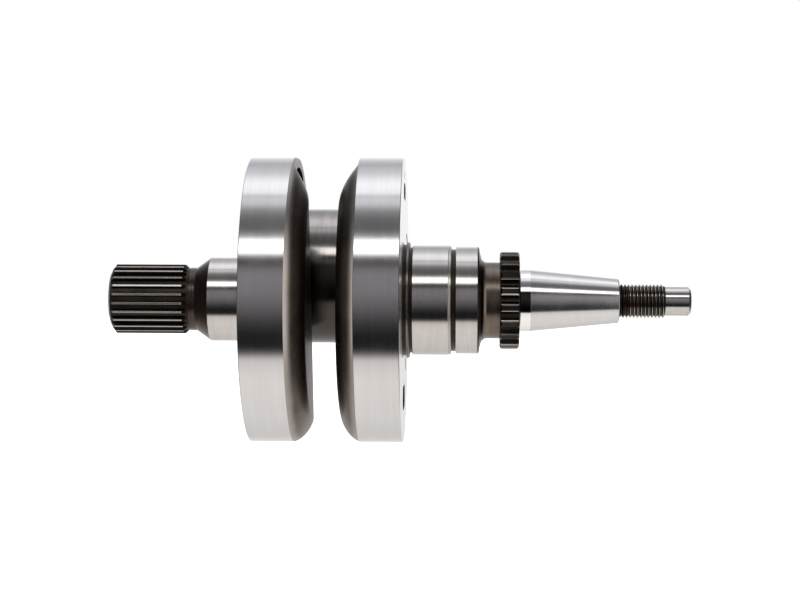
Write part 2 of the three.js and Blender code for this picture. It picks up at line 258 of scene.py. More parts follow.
def turnedSteel(name, colour, darker, roughness, lineStrength, linesPerMm=4.0, axis="x", paintedShadeBand=None):
    # ground or turned steel: fine lines round the crank's axis, faint stains, and painted shade between two
    # heights
    material, shade = newMaterial(name)
    place = shade.objectPlace()
    x, y, z = shade.split(place)
    radius = (y * y + z * z) ** 0.5
    along = x if axis == "x" else radius
    angle = shade.add("ShaderNodeMath", {"operation": "ARCTAN2"}, [z, y])
    linePlace = shade.joinXyz(along * (linesPerMm / mm), angle * 1.5, radius * (0.2 / mm))
    lines = shade.noise(linePlace, 1.0, detail=4, roughness=0.7)
    broadPlace = shade.joinXyz(along * (0.35 / mm), angle * 1.1, radius * (0.05 / mm))
    broad = shade.noise(broadPlace, 1.0, detail=2)
    cloud = shade.noise(place, 90.0, detail=4, roughness=0.6)
    tone = (lines * 0.5 + broad * 0.3 + cloud * 0.25).within(0.3, 0.85)
    baseColour = shade.mixColour(tone, darker, colour)
    # painted shade: the colour turns dark between two heights of the piece's frame, with soft cloudy borders
    if paintedShadeBand:
        low, high, soft = (value * mm for value in paintedShadeBand)
        level = z + cloud * (0.6 * soft)
        paintedShadeMask = level.within(low - soft, low + soft) - level.within(high - soft, high)
        baseColour = shade.mixColour(paintedShadeMask, baseColour, (0.055, 0.050, 0.046))
    rough = lines * 0.10 + cloud * 0.08 + (roughness - 0.09)
    normal = shade.bump(lines, lineStrength, 0.02 * mm)
    shade.metal(baseColour, rough, normal)
    return material


def forgedSkin(name, colour, darker, roughness, pitStrength=0.35, grain=700.0, rimHighlight=None):
    # rough oxide skin of a forging: fine pits and brown clouds, and a painted highlight next to the rim
    material, shade = newMaterial(name)
    place = shade.objectPlace()
    pits = shade.noise(place, grain, detail=5, roughness=0.65)
    patches = shade.noise(place, 70.0, detail=4, roughness=0.6)
    baseColour = shade.mixColour((pits * 0.5 + patches * 0.6).within(0.35, 0.75), darker, colour)
    # painted highlight: the skin turns lighter just inside the rim's radius
    if rimHighlight:
        highlightFrom, highlightTo = 57.8 * mm, 60.0 * mm
        y, z = shade.split(place)[1:]
        radius = (y * y + z * z) ** 0.5
        nearRim = (radius + patches * (0.8 * mm)).within(highlightFrom, highlightTo)
        baseColour = shade.mixColour(nearRim, baseColour, rimHighlight)
    rough = pits * 0.25 + patches * 0.12 + (roughness - 0.18)
    normal = shade.bump(pits, pitStrength, 0.12 * mm)
    shade.metal(baseColour, rough, normal)
    return material


finishes = {
    "rim": turnedSteel("ground rim", (0.655, 0.65, 0.65), (0.57, 0.565, 0.565), 0.14, 0.12),
    "journal": turnedSteel("ground journal", (0.60, 0.58, 0.565), (0.48, 0.465, 0.45), 0.13, 0.14, 5.0),
    # painted dark reflection in a band across the collar's middle height
    "collar": turnedSteel("polished collar", (0.86, 0.85, 0.84), (0.80, 0.79, 0.78), 0.08, 0.04,
                          paintedShadeBand=(-4.8, 3.8, 0.5)),
    "face": turnedSteel("turned face", (0.74, 0.74, 0.74), (0.64, 0.64, 0.64), 0.22, 0.25, 2.5, axis="r"),
    # the forged skin carries a painted highlight beside the rim
    "skin": forgedSkin("forged skin", (0.165, 0.141, 0.123), (0.088, 0.074, 0.063), 0.36, 0.12, 1500.0,
                       rimHighlight=(0.40, 0.365, 0.34)),
    # painted shade: hole and pocket walls are coloured nearly black
    "holeShade": forgedSkin("painted hole shade", (0.06, 0.052, 0.045), (0.03, 0.026, 0.022), 0.5, 0.2, 900.0),
    "darkTurned": turnedSteel("dark turned steel", (0.27, 0.24, 0.21), (0.13, 0.112, 0.095), 0.27, 0.3, 3.0),
    "heated": turnedSteel("heat tinted neck", (0.22, 0.183, 0.15), (0.10, 0.081, 0.066), 0.27, 0.25, 2.0),
    "burnt": turnedSteel("burnt neck", (0.10, 0.079, 0.064), (0.045, 0.035, 0.028), 0.27, 0.25, 2.0),
    # black oxide on the spline, sprocket and thread start, and painted shade in the grooves, recesses and
    # fillet of the magneto half
    "oxideAndShade": forgedSkin("black oxide and painted shade", (0.045, 0.038, 0.032), (0.02, 0.017, 0.014), 0.34, 0.10, 1200.0),
    # lighter steel for spline lands, thread crests, sprocket tooth corners and the journal's end band
    "edge": turnedSteel("lighter edge", (0.50, 0.475, 0.45), (0.34, 0.32, 0.30), 0.22, 0.12),
    "rod": forgedSkin("brushed rod", (0.44, 0.42, 0.395), (0.31, 0.29, 0.27), 0.22, 0.12, 1400.0),
    # the big end is painted dark below its highlight, as painted shade from the webs on both sides
    "bigEnd": turnedSteel("brushed big end", (0.46, 0.44, 0.42), (0.25, 0.24, 0.23), 0.13, 0.6, 5.0,
                          paintedShadeBand=(-40.0, 19.0, 4.0)),
    "pin": turnedSteel("ground pin", (0.70, 0.70, 0.71), (0.62, 0.62, 0.63), 0.14, 0.1),
    "bronze": turnedSteel("bored bronze", (0.62, 0.42, 0.19), (0.45, 0.29, 0.12), 0.28, 0.3),
    "washer": turnedSteel("plated washer", (0.60, 0.44, 0.27), (0.44, 0.30, 0.17), 0.3, 0.2, axis="r"),
    "cage": turnedSteel("plated cage", (0.58, 0.57, 0.55), (0.45, 0.44, 0.42), 0.3, 0.2),
    "roller": turnedSteel("polished roller", (0.74, 0.74, 0.76), (0.68, 0.68, 0.70), 0.12, 0.05),
}


# Webs: a disc with a bulge of forged metal on its inner face, away from the crankpin

web = {
    "radius": 59.4,
    "innerFace": 12.95,
    "chamfer": 0.25,
    "lead": 0.03,  # the share of the bulge's rounding that the ground rim has cut off
    "edgeWidth": 15.6,  # from the bulge's base line to its plateau
    # where the ground rim ends and the skin starts, then the bulge's height, its width from the rim to the
    # plateau, how square its rounding is, and its straight edge beyond the crank's axis
    "driveBulge": {"groundEnd": 14.2, "skinRadius": 58.9, "height": 6.6, "rimWidth": 9.2, "power": 1.5,
                   "baseLine": 2.8},
    "magnetoBulge": {"groundEnd": 13.15, "skinRadius": 59.15, "height": 7.4, "rimWidth": 10.7, "power": 1.7,
                     "baseLine": 0.7},
    "curvedRings": 24,
    "flatRings": 34,
    "driveHoles": [{"angle": 88, "radius": 48.8, "width": 13.0, "sweep": 30}],
    "magnetoHoles": [
        {"angle": 90, "radius": 52.3, "width": 3.6, "sweep": 0},
        {"angle": 88, "radius": 45.6, "width": 6.8, "sweep": 16},
    ],
    "pockets": [
        {"angle": -88, "radius": 41, "width": 10, "sweep": 20},
        {"angle": -54, "radius": 33.6, "width": 6.4, "sweep": 0},
    ],
    "pocketDepth": 9,
    "holeReach": 12,  # past both faces, so that a hole goes through the bulge as well
}


def innerFaceProfile(faceX, bulge):
    # rings from the rim to the axis, close together where the bulge curves most
    width = bulge["rimWidth"]
    plateau = bulge["skinRadius"] - width
    curvedRings, flatRings = web["curvedRings"], web["flatRings"]
    curved = [plateau + width * math.cos(i / curvedRings * math.pi / 2) for i in range(curvedRings + 1)]
    flat = [plateau * (1 - i / flatRings) for i in range(1, flatRings + 1)]
    return [(faceX, radius) for radius in curved + flat]


def bulgeShare(place, bulge):
    # the bulge's height at a place on the web, as a share of the plateau's
    power, lead = bulge["power"], web["lead"]

    def rounding(share):
        return max(1 - (1 - share) ** power, 0) ** (1 / power)

    inward = (bulge["skinRadius"] - math.hypot(place.y, place.z) / mm) / bulge["rimWidth"]
    beyond = (place.dot(counterweightWay) / mm - bulge["baseLine"]) / web["edgeWidth"]
    inward, beyond = (min(max(share, 0), 1) for share in (inward, beyond))
    byRim = (rounding(lead + inward * (1 - lead)) - rounding(lead)) / (1 - rounding(lead))
    return byRim * math.sqrt(1 - (1 - beyond) ** 2)


def raiseBulge(bm, faceX, bulge):
    for vert in bm.verts:
        if abs(vert.co.x / mm - faceX) < 0.001:
            vert.co.x -= math.copysign(bulgeShare(vert.co, bulge) * bulge["height"] * mm, faceX)


def kidneyCutters(low, high, angle, radius, width, sweep):
    # round ends, and the arc between them
    cutters = []
    middle = math.radians(angle)
    half = math.radians(sweep) / 2
    for end in sorted({middle - half, middle + half}):
        bm = turned([(low, 0), (low, width / 2), (high, width / 2), (high, 0)], 48)
        moved(bm, (0, radius * math.cos(end) * mm, radius * math.sin(end) * mm))
        cutters.append(toObject(bm, "cutter"))
    if sweep:
        bm = bmesh.new()
        bmesh.ops.create_grid(bm, x_segments=1, y_segments=1, size=0.5)
        bmesh.ops.scale(bm, vec=((high - low) * mm, width * mm, 1), verts=bm.verts)
        bmesh.ops.translate(bm, vec=((low + high) / 2 * mm, radius * mm, 0), verts=bm.verts)
        bmesh.ops.rotate(bm, cent=(0, 0, 0), matrix=Matrix.Rotation(middle - half, 3, "X"), verts=bm.verts)
        bmesh.ops.spin(bm, geom=bm.verts[:] + bm.edges[:] + bm.faces[:], cent=(0, 0, 0), axis=(1, 0, 0),
                       angle=2 * half, steps=16)
        cutters.append(toObject(sealed(bm), "cutter"))
    return cutters


def cutWeb(piece, side, outerFace, holes):
    # the pin's bore with a flared mouth at each end, then the holes and the balance pockets
    low, high = sorted((outerFace, side * web["innerFace"]))
    flare = 0.5
    mouth = pin["radius"] + 1 + flare
    bore = turned([(low - 1, 0), (low - 1, mouth), (low + flare, pin["radius"]),
                   (high - flare, pin["radius"]), (high + 1, mouth), (high + 1, 0)])
    combine(piece, toObject(moved(bore, pinCentre), "cutter"), "DIFFERENCE")
    for hole in holes:
        for cutter in kidneyCutters(low - web["holeReach"], high + web["holeReach"], **hole):
            combine(piece, cutter, "DIFFERENCE")
    for pocket in web["pockets"]:
        floor = outerFace - side * web["pocketDepth"]
        for cutter in kidneyCutters(*sorted((floor, outerFace + side)), **pocket):
            combine(piece, cutter, "DIFFERENCE")


crankFinishes = ("rim", "journal", "oxideAndShade", "edge", "face", "skin", "darkTurned", "heated", "holeShade",
                 "collar", "burnt")
crispAngle = 10  # degrees; keeps the ground surfaces of the crank halves apart


def webFinish(outward, radius, outerFace, bulge):
    # outer face, rim, skin of the inner side, and the walls of holes and pockets, which are painted dark as
    # shade
    if outward > outerFace - 0.05:
        return "face"
    if radius > web["radius"] - 0.98:
        return "rim" if outward > bulge["groundEnd"] else "skin"
    return "holeShade" if outward > web["innerFace"] + 0.1 else "skin"


# Drive half: spline, neck, bearing seat and web

drive = {
    "start": -91.3,
    "toothStart": -90.4,
    "splineEnd": -58.4,
    "teeth": 24,
    "tip": 14.55,
    "root": 13.0,
    "toothWidth": 1.9,
    "landShare": 0.42,
    "endRadius": 11.7,
    "endChamfer": 1.1,
    "runout": 2.2,
    "neck": 13.1,
    "neckEnd": -55.5,
    "seatStart": -49.6,
    "seat": 17.5,
    "outerFace": -32.2,
}


def splineTeeth():
    # one tooth as a tapered bar with soft edges, repeated round the shaft
    length = drive["splineEnd"] - drive["toothStart"]
    middle = (drive["splineEnd"] + drive["toothStart"]) / 2
    pitch = 2 * math.pi / drive["teeth"]
    height = drive["tip"] - drive["root"] + 0.6
    bm = bmesh.new()
    bmesh.ops.create_cube(bm, size=1)
    bmesh.ops.scale(bm, vec=(length * mm, drive["toothWidth"] * mm, height * mm), verts=bm.verts)
    bmesh.ops.translate(bm, vec=(middle * mm, 0, (drive["tip"] - height / 2) * mm), verts=bm.verts)
    top = [v for v in bm.verts if v.co.z > (drive["tip"] - 0.1) * mm]
    bmesh.ops.scale(bm, vec=(1, drive["landShare"], 1), verts=top)
    for vert in top:  # chamfered ends
        atStart = vert.co.x < middle * mm
        vert.co.x += (drive["endChamfer"] if atStart else -drive["runout"]) * mm
    alongEdges = [e for e in bm.edges if all(v in top for v in e.verts)]
    bmesh.ops.bevel(bm, geom=alongEdges, offset=0.16 * mm, segments=2, profile=0.5, affect="EDGES",
                    material=-1)
    bmesh.ops.rotate(bm, cent=(0, 0, 0), matrix=Matrix.Rotation(-pitch / 2, 3, "X"), verts=bm.verts)
    bmesh.ops.spin(bm, geom=bm.verts[:] + bm.edges[:] + bm.faces[:], cent=(0, 0, 0), axis=(1, 0, 0),
                   angle=2 * math.pi - pitch, steps=drive["teeth"] - 1, use_duplicate=True)
    return sealed(bm)


def driveHalf():
    d = drive
    profile = [
        (d["start"] + 6, 0), (d["start"] + 6, 1.2), (d["start"] + 3.4, 1.2), (d["start"], 3.2),
        (d["start"], d["endRadius"] - 0.4), (d["start"] + 0.3, d["endRadius"]),
        (d["start"] + 0.9, d["root"]),
        (d["splineEnd"] + 0.2, d["root"]), (d["splineEnd"] + 0.4, d["neck"]),
        (d["neckEnd"], d["neck"]),
        (d["seatStart"] - 0.1, d["seat"] - 0.2), (d["seatStart"] + 0.1, d["seat"]),
        (d["outerFace"] - 1.2, d["seat"]), (d["outerFace"] - 0.5, d["seat"] - 0.25),
        (d["outerFace"], d["seat"] - 0.25), (d["outerFace"], 24),
        (d["outerFace"], web["radius"] - web["chamfer"]), (d["outerFace"] + web["chamfer"], web["radius"]),
        (-web["driveBulge"]["groundEnd"], web["radius"]),
        *innerFaceProfile(-web["innerFace"], web["driveBulge"]),
    ]
    bm = turned(profile)
    raiseBulge(bm, -web["innerFace"], web["driveBulge"])
    piece = toObject(bm, "driveHalf")
    combine(piece, toObject(splineTeeth(), "cutter"), "UNION")
    cutWeb(piece, -1, d["outerFace"], web["driveHoles"])

    def pick(x, radius, polygon):
        if x < d["splineEnd"] + 0.3:
            isLand = radius > d["tip"] - 0.2 and abs(polygon.normal.x) < 0.3
            return "edge" if isLand else "oxideAndShade"
        if x < d["seatStart"]:
            return "burnt"
        if x < d["outerFace"] - 0.1:
            return "journal"
        return webFinish(-x, radius, -d["outerFace"], web["driveBulge"])

    return finished(piece, "crank", "drive_crank_half", crankFinishes, pick,
                    crispAngle)


# Magneto half: web, thrust shoulder, ground journals, sprocket seat, taper, thread and pilot

magneto = {
    "outerFace": 31.2,
    "recess": 23.2,
    "shoulderStart": 32.3,
    "shoulder": 24.2,
    "shoulderEnd": 33.7,
    "relief": 22.0,
    "journal": 22.9,
    "journalStart": 34.8,
    "journalEnd": 51.0,
    "groove": 21.25,
    "sealStart": 52.7,
    "seal": 22.35,
    "sealEnd": 62.6,
    "neck": 15.9,
    "neckStart": 65.8,
    "fillet": 2.6,
    "sprocketStart": 71.1,
    "sprocketEnd": 79.2,
    "sprocketSeat": 13.75,
    "collar": 12.875,
    "taperStart": 83.8,
    "taperStartRadius": 12.8,
    "taperEnd": 120.6,
    "taperEndRadius": 9.2,
    "threadStart": 121.0,
    "threadEnd": 139.7,
    "thread": 6.95,
    "threadRoot": 6.15,
    "pitch": 1.5,
    "pilot": 6.0,
    "end": 150.4,
    "keyMiddle": 99.0,
    "keyWidth": 4.0,
    "keyCutter": 9.5,
    "keyDepth": 2.4,
}


def threadRidge():
    # one ridge wound along the thread, then cut to a chamfered blank
    m = magneto
    stepsPerTurn = 64
    turns = math.ceil((m["threadEnd"] - m["threadStart"]) / m["pitch"]) + 1
    start = m["threadStart"] - m["pitch"] / 2
    halfBase = 0.46 * m["pitch"]
    section = [(-halfBase, m["threadRoot"] - 0.12), (-0.1, m["thread"]), (0.1, m["thread"]),
               (halfBase, m["threadRoot"] - 0.12)]
    bm = bmesh.new()
    verts = [bm.verts.new(((start + x) * mm, 0, radius * mm)) for x, radius in section]
    edges = [bm.edges.new(pair) for pair in zip(verts, verts[1:] + verts[:1])]
    bmesh.ops.spin(bm, geom=verts + edges, cent=(0, 0, 0), axis=(1, 0, 0), angle=2 * math.pi * turns,
                   steps=stepsPerTurn * turns, dvec=(m["pitch"] / stepsPerTurn * mm, 0, 0))
    openEdges = [edge for edge in bm.edges if len(edge.link_faces) == 1]
    bmesh.ops.holes_fill(bm, edges=openEdges, sides=0)
    bmesh.ops.recalc_face_normals(bm, faces=bm.faces)
    ridge = toObject(bm, "ridge")
    blank = turned([(m["threadStart"], 0), (m["threadStart"], m["threadRoot"] - 0.06),
                    (m["threadStart"] + 0.3, m["thread"] + 0.05), (m["threadEnd"] - 0.9, m["thread"] + 0.05),
                    (m["threadEnd"], m["threadRoot"] + 0.05), (m["threadEnd"], 0)], 64)
    combine(ridge, toObject(blank, "cutter"), "INTERSECT")
    return ridge


def magnetoHalf():
    m = magneto
    filletTop = m["neck"] + m["fillet"]
    fillet = [(m["neckStart"] - m["fillet"] * math.cos(i / 12 * math.pi / 2),
               filletTop - m["fillet"] * math.sin(i / 12 * math.pi / 2)) for i in range(13)]
    profile = [
        *reversed(innerFaceProfile(web["innerFace"], web["magnetoBulge"])),
        (web["magnetoBulge"]["groundEnd"], web["radius"]),
        (m["outerFace"] - web["chamfer"], web["radius"]), (m["outerFace"], web["radius"] - web["chamfer"]),
        (m["outerFace"], 40), (m["outerFace"], m["recess"]),
        (m["shoulderStart"], m["recess"]), (m["shoulderStart"], m["shoulder"] - 0.3),
        (m["shoulderStart"] + 0.3, m["shoulder"]),
        (m["shoulderEnd"] - 0.3, m["shoulder"]), (m["shoulderEnd"], m["shoulder"] - 0.3),
        (m["shoulderEnd"], m["relief"]), (m["journalStart"], m["relief"]),
        (m["journalStart"], m["journal"] - 0.3), (m["journalStart"] + 0.3, m["journal"]),
        (m["journalEnd"] - 1.3, m["journal"]), (m["journalEnd"] - 1.1, m["journal"] - 0.12),
        (m["journalEnd"] - 0.3, m["journal"] - 0.25), (m["journalEnd"], m["journal"] - 0.6),
        (m["journalEnd"], m["groove"]), (m["sealStart"], m["groove"]),
        (m["sealStart"], m["seal"] - 0.3), (m["sealStart"] + 0.3, m["seal"]),
        (m["sealEnd"] - 0.8, m["seal"]), (m["sealEnd"] - 0.25, m["seal"] - 0.3),
        (m["sealEnd"], m["seal"] - 0.9),
        (m["sealEnd"] + 0.25, filletTop + 0.9),
        *fillet,
        (m["sprocketStart"], m["neck"]), (m["sprocketStart"], m["sprocketSeat"]),
        (m["sprocketEnd"] - 0.3, m["sprocketSeat"]), (m["sprocketEnd"] + 0.5, m["collar"]),
        (m["taperStart"] - 0.03, m["collar"]), (m["taperStart"], m["taperStartRadius"]),
        (m["taperEnd"] - 0.4, m["taperEndRadius"] + 0.04),
        (m["taperEnd"] - 0.1, m["taperEndRadius"] - 0.12), (m["taperEnd"], m["taperEndRadius"] - 0.4),
        (m["taperEnd"], m["threadRoot"] - 0.05), (m["threadStart"], m["threadRoot"] - 0.05),
        (m["threadStart"] + 0.1, m["threadRoot"]), (m["threadEnd"] - 0.1, m["threadRoot"]),
        (m["threadEnd"], m["pilot"]), (m["end"] - 1, m["pilot"]), (m["end"], m["pilot"] - 1),
        (m["end"], 2.9), (m["end"] - 3.2, 1.1), (m["end"] - 6, 1.1), (m["end"] - 6, 0),
    ]
    bm = turned(profile)
    raiseBulge(bm, web["innerFace"], web["magnetoBulge"])
    piece = toObject(bm, "magnetoHalf")
    combine(piece, threadRidge(), "UNION")
    slope = (m["taperEndRadius"] - m["taperStartRadius"]) / (m["taperEnd"] - m["taperStart"])
    seat = m["taperStartRadius"] + slope * (m["keyMiddle"] - m["taperStart"])
    key = turned([(-m["keyWidth"] / 2, 0), (-m["keyWidth"] / 2, m["keyCutter"]),
                  (m["keyWidth"] / 2, m["keyCutter"]), (m["keyWidth"] / 2, 0)], 96)
    bmesh.ops.rotate(key, cent=(0, 0, 0), matrix=Matrix.Rotation(math.pi / 2, 3, "Y"), verts=key.verts)
    moved(key, Vector((m["keyMiddle"], seat + m["keyCutter"] - m["keyDepth"], 0)) * mm)
    combine(piece, toObject(key, "cutter"), "DIFFERENCE")
    cutWeb(piece, 1, m["outerFace"], web["magnetoHoles"])

    def pick(x, radius, polygon):
        if x < m["outerFace"] + 0.02:
            return webFinish(x, radius, m["outerFace"], web["magnetoBulge"])
        # painted shade: the recess and relief beside the shoulder, the groove before the seal, and the
        # seal's end and fillet take the black finish
        if x < m["journalStart"] + 0.02:
            return "darkTurned" if radius > m["shoulder"] - 0.4 else "oxideAndShade"
        if x < m["journalEnd"] - 0.05:
            return "journal" if x < m["journalEnd"] - 1.15 else "edge"
        if x < m["sealEnd"] - 0.82:
            return "oxideAndShade" if x < m["sealStart"] + 0.05 else "journal"
        if x < m["neckStart"] - 1.6:
            return "oxideAndShade"
        if x < m["sprocketStart"] + 0.1:
            return "heated"
        if x < m["taperStart"] - 0.2:
            return "collar"
        if x < m["taperEnd"] - 0.15:
            return "rim"
        if x < m["threadEnd"]:
            onCrest = radius > m["thread"] - 0.16 and x > m["threadStart"] + 3
            onFlank = "burnt" if x > m["threadStart"] + 1.5 else "oxideAndShade"
            return "edge" if onCrest else onFlank
        return "journal"

    return finished(piece, "crank", "magneto_crank_half", crankFinishes, pick,
                    crispAngle)


# Timing sprocket

sprocket = {
    "teeth": 18,
    "firstTooth": 9,  # degrees from +Y
    "tip": 20.3,
    "root": 17.8,
    "bore": 13.78,
    "chamfer": 0.8,
    "stepsPerTooth": 20,
}


def toothRadius(part):
    # the outline over one pitch, from the middle of a gap: round valley, flank, broken corner, tip
    p = min(part, 1 - part)
    valley, flank, corner = 0.16, 0.26, 0.31
    if p < valley:
        return sprocket["root"] + 0.5 * (1 - math.cos(p / valley * math.pi / 2))
    if p < flank:
        share = (p - valley) / (flank - valley)
        return sprocket["root"] + 0.5 + (sprocket["tip"] - sprocket["root"] - 0.9) * share
    return sprocket["tip"] - (0.28 if p < corner else 0)


def gapPart(y, z):
    # where a place lies in its pitch: 0 in the middle of a gap, 0.5 on a tooth
    angle = math.atan2(z, y) - math.radians(sprocket["firstTooth"])
    return (angle / (2 * math.pi) * sprocket["teeth"] + 0.5) % 1


def timingSprocket():
    s = sprocket
    low, high = boxAlongX("timing_sprocket")
    count = s["teeth"] * s["stepsPerTooth"]
    bm = bmesh.new()
    outer = bmesh.ops.create_circle(bm, segments=count, radius=1)["verts"]
    for vert in outer:
        angle = math.atan2(vert.co.y, vert.co.x)
        part = (angle / (2 * math.pi) * s["teeth"] + 0.5) % 1
        vert.co *= toothRadius(round(part * s["stepsPerTooth"]) / s["stepsPerTooth"]) * mm
    bmesh.ops.create_circle(bm, segments=count, radius=s["bore"] * mm)
    bmesh.ops.rotate(bm, cent=(0, 0, 0), matrix=Matrix.Rotation(math.radians(s["firstTooth"]), 3, "Z"),
                     verts=bm.verts)
    bmesh.ops.bridge_loops(bm, edges=bm.edges[:])
    bmesh.ops.rotate(bm, cent=(0, 0, 0), matrix=Matrix(((0, 0, 1), (1, 0, 0), (0, 1, 0))), verts=bm.verts)
    bmesh.ops.translate(bm, vec=(low * mm, 0, 0), verts=bm.verts)
    grown = bmesh.ops.extrude_face_region(bm, geom=bm.faces[:])["geom"]
    bmesh.ops.translate(bm, vec=((high - low) * mm, 0, 0),
                        verts=[v for v in grown if isinstance(v, bmesh.types.BMVert)])
    piece = toObject(sealed(bm), "timingSprocket")
    foot = s["tip"] - s["chamfer"] - 0.1
    blank = turned([(low - 0.1, 0), (low - 0.1, foot), (low + s["chamfer"], s["tip"] + 0.01),
                    (high - s["chamfer"], s["tip"] + 0.01), (high + 0.1, foot), (high + 0.1, 0)], count)
    combine(piece, toObject(blank, "cutter"), "INTERSECT")

    def pick(x, radius, polygon):
        fromGap = gapPart(polygon.center.y, polygon.center.z)
        onCorner = 0.27 < min(fromGap, 1 - fromGap) < 0.36 and radius > s["tip"] - 0.6
        return "edge" if onCorner else "oxideAndShade"

    return finished(piece, "crank", "timing_sprocket", ("oxideAndShade", "edge"), pick)


# Crankpin, its plugs, the thrust washers and the small end bush

pin = {"radius": 18.0, "bore": 7.5, "chamfer": 0.5}
washer = {"inner": 18.06, "outer": 25.0, "chamfer": 0.25}
bush = {"inner": 9.5, "outer": 11.2, "chamfer": 0.4}


def ringProfile(low, high, inner, outer, chamfer):
    return [(low, inner + chamfer), (low + chamfer, inner), (high - chamfer, inner), (high, inner + chamfer),
            (high, outer - chamfer), (high - chamfer, outer), (low + chamfer, outer), (low, outer - chamfer)]


def plainRing(name, node, inner, outer, chamfer, body, finish, centre):
    low, high = boxAlongX(node)
    bm = turned(ringProfile(low, high, inner, outer, chamfer), closed=True)
    return finished(toObject(moved(bm, centre), name), body, node, (finish,))


def pinPlug(name, node):
    low, high = boxAlongX(node)
    bm = turned([(low, 0), (low, 3), (low + 0.6, 3.6), (low + 0.6, 5.2), (low, 5.8), (low, 7.0),
                 (low + 0.5, 7.48), (high - 0.5, 7.48), (high, 7.0), (high, 0)], 96)
    return finished(toObject(moved(bm, pinCentre), name), "crank", node, ("darkTurned",))


# Connecting rod

rod = {
    "bigOuter": 29.0,
    "bigBore": 23.0,
    "smallOuter": 15.0,
    "smallBore": 11.2,
    "shank": 9.2,
    "halfAtBig": 12.5,
    "halfAtSmall": 9.5,
    "flange": 3.2,
    "web": 3.4,
    "softness": 0.9,
    "smallEndSteps": 128,
}


def outlinePlate(points, thickness, softness=0.0):
    # a flat outline in Y and Z, of even thickness about X = 0, with soft edges
    bm = bmesh.new()
    verts = [bm.verts.new((-thickness / 2 * mm, y * mm, z * mm)) for y, z in points]
    face = bm.faces.new(verts)
    grown = bmesh.ops.extrude_face_region(bm, geom=[face])["geom"]
    bmesh.ops.translate(bm, vec=(thickness * mm, 0, 0),
                        verts=[v for v in grown if isinstance(v, bmesh.types.BMVert)])
    bmesh.ops.recalc_face_normals(bm, faces=bm.faces)
    if softness:
        flatEdges = [e for e in bm.edges if abs(e.verts[0].co.x - e.verts[1].co.x) < 0.01 * mm]
        bmesh.ops.bevel(bm, geom=flatEdges, offset=softness * mm, segments=3, profile=0.5, affect="EDGES",
                        material=-1)
    return bm


def shankOutline(length):
    upper = []
    start, run = rod["bigOuter"] * 0.62, 12
    for i in range(13):  # sweeps in from the big end
        share = i / 12
        y = start + (rod["bigOuter"] + run - start) * share
        fall = (1 - share) ** 2.4
        upper.append((y, rod["halfAtBig"] + (rod["bigOuter"] * 0.74 - rod["halfAtBig"]) * fall))
    for i in range(9):  # and out again a little to the small end
        share = i / 8
        y = length - rod["smallOuter"] - 6 + (rod["smallOuter"] + 2) * share
        upper.append((y, rod["halfAtSmall"] + 1.4 * share ** 2))
    lower = [(y, -z) for y, z in reversed(upper)]
    return upper + lower


def hollowOutline(length):
    wide = rod["halfAtBig"] - rod["flange"]
    narrow = rod["halfAtSmall"] - rod["flange"]
    first = rod["bigOuter"] + 8 + wide
    last = length - rod["smallOuter"] - 4 - narrow
    turns = [math.radians(90 - i * 180 / 16) for i in range(17)]
    near = [(last + narrow * math.cos(turn), narrow * math.sin(turn)) for turn in turns]
    far = [(first - wide * math.cos(turn), -wide * math.sin(turn)) for turn in turns]
    return near + far


def connectingRod():
    low, high = boxAlongX("connecting_rod")
    length = (smallEndCentre.y - pinCentre.y) / mm
    bigEnd = turned(ringProfile(low, high, rod["bigBore"], rod["bigOuter"], 0.5), closed=True)
    piece = toObject(bigEnd, "connectingRod")
    shank = toObject(outlinePlate(shankOutline(length), rod["shank"], rod["softness"]), "shank")
    for side in (-1, 1):
        hollow = outlinePlate(hollowOutline(length), rod["shank"])
        moved(hollow, (side * (rod["shank"] + rod["web"]) / 2 * mm, 0, 0))
        combine(shank, toObject(hollow, "cutter"), "DIFFERENCE")
    low, high = boxAlongX("small_end_bush")
    outer, chamfer = rod["smallOuter"], 0.8
    smallEnd = turned([(low, 0), (low, outer - chamfer), (low + chamfer, outer), (high - chamfer, outer),
                       (high, outer - chamfer), (high, 0)], rod["smallEndSteps"])
    combine(shank, toObject(moved(smallEnd, (0, length * mm, 0)), "cutter"), "UNION")
    bores = ((rod["bigBore"] + 2, 0, roundSteps), (rod["smallBore"], length, rod["smallEndSteps"]))
    for radius, y, steps in bores:
        clear = turned([(-20, 0), (-20, radius), (20, radius), (20, 0)], steps)
        combine(shank, toObject(moved(clear, (0, y * mm, 0)), "cutter"), "DIFFERENCE")
    combine(piece, shank, "UNION")
    piece.data.transform(Matrix.Translation(pinCentre))

    def pick(x, radius, polygon):
        centre = polygon.center
        fromPin = math.hypot(centre.y - pinCentre.y, centre.z - pinCentre.z) / mm
        fromSmall = math.hypot(centre.y - smallEndCentre.y, centre.z - smallEndCentre.z) / mm
        inBore = fromPin < rod["bigBore"] + 0.3 or fromSmall < rod["smallBore"] + 0.3
        onSide = abs(polygon.normal.x) > 0.99 and abs(x) > rod["shank"]
        if inBore or onSide:
            return "pin"
        return "bigEnd" if fromPin < rod["bigOuter"] + 0.1 else "rod"

    return finished(piece, "rod", "connecting_rod", ("rod", "pin", "bigEnd"), pick)


# Needle bearing

bearing = {
    "rollers": 16,
    "pitchRadius": 20.5,
    "roller": 2.47,
    "cageInner": 19.2,
    "cageOuter": 21.8,
    "pocketHalf": 2.53,
    "pocketLength": 15.9,
    "pocketReach": 8,
}


def rollerAngle(index):
    return 2 * math.pi * index / bearing["rollers"]


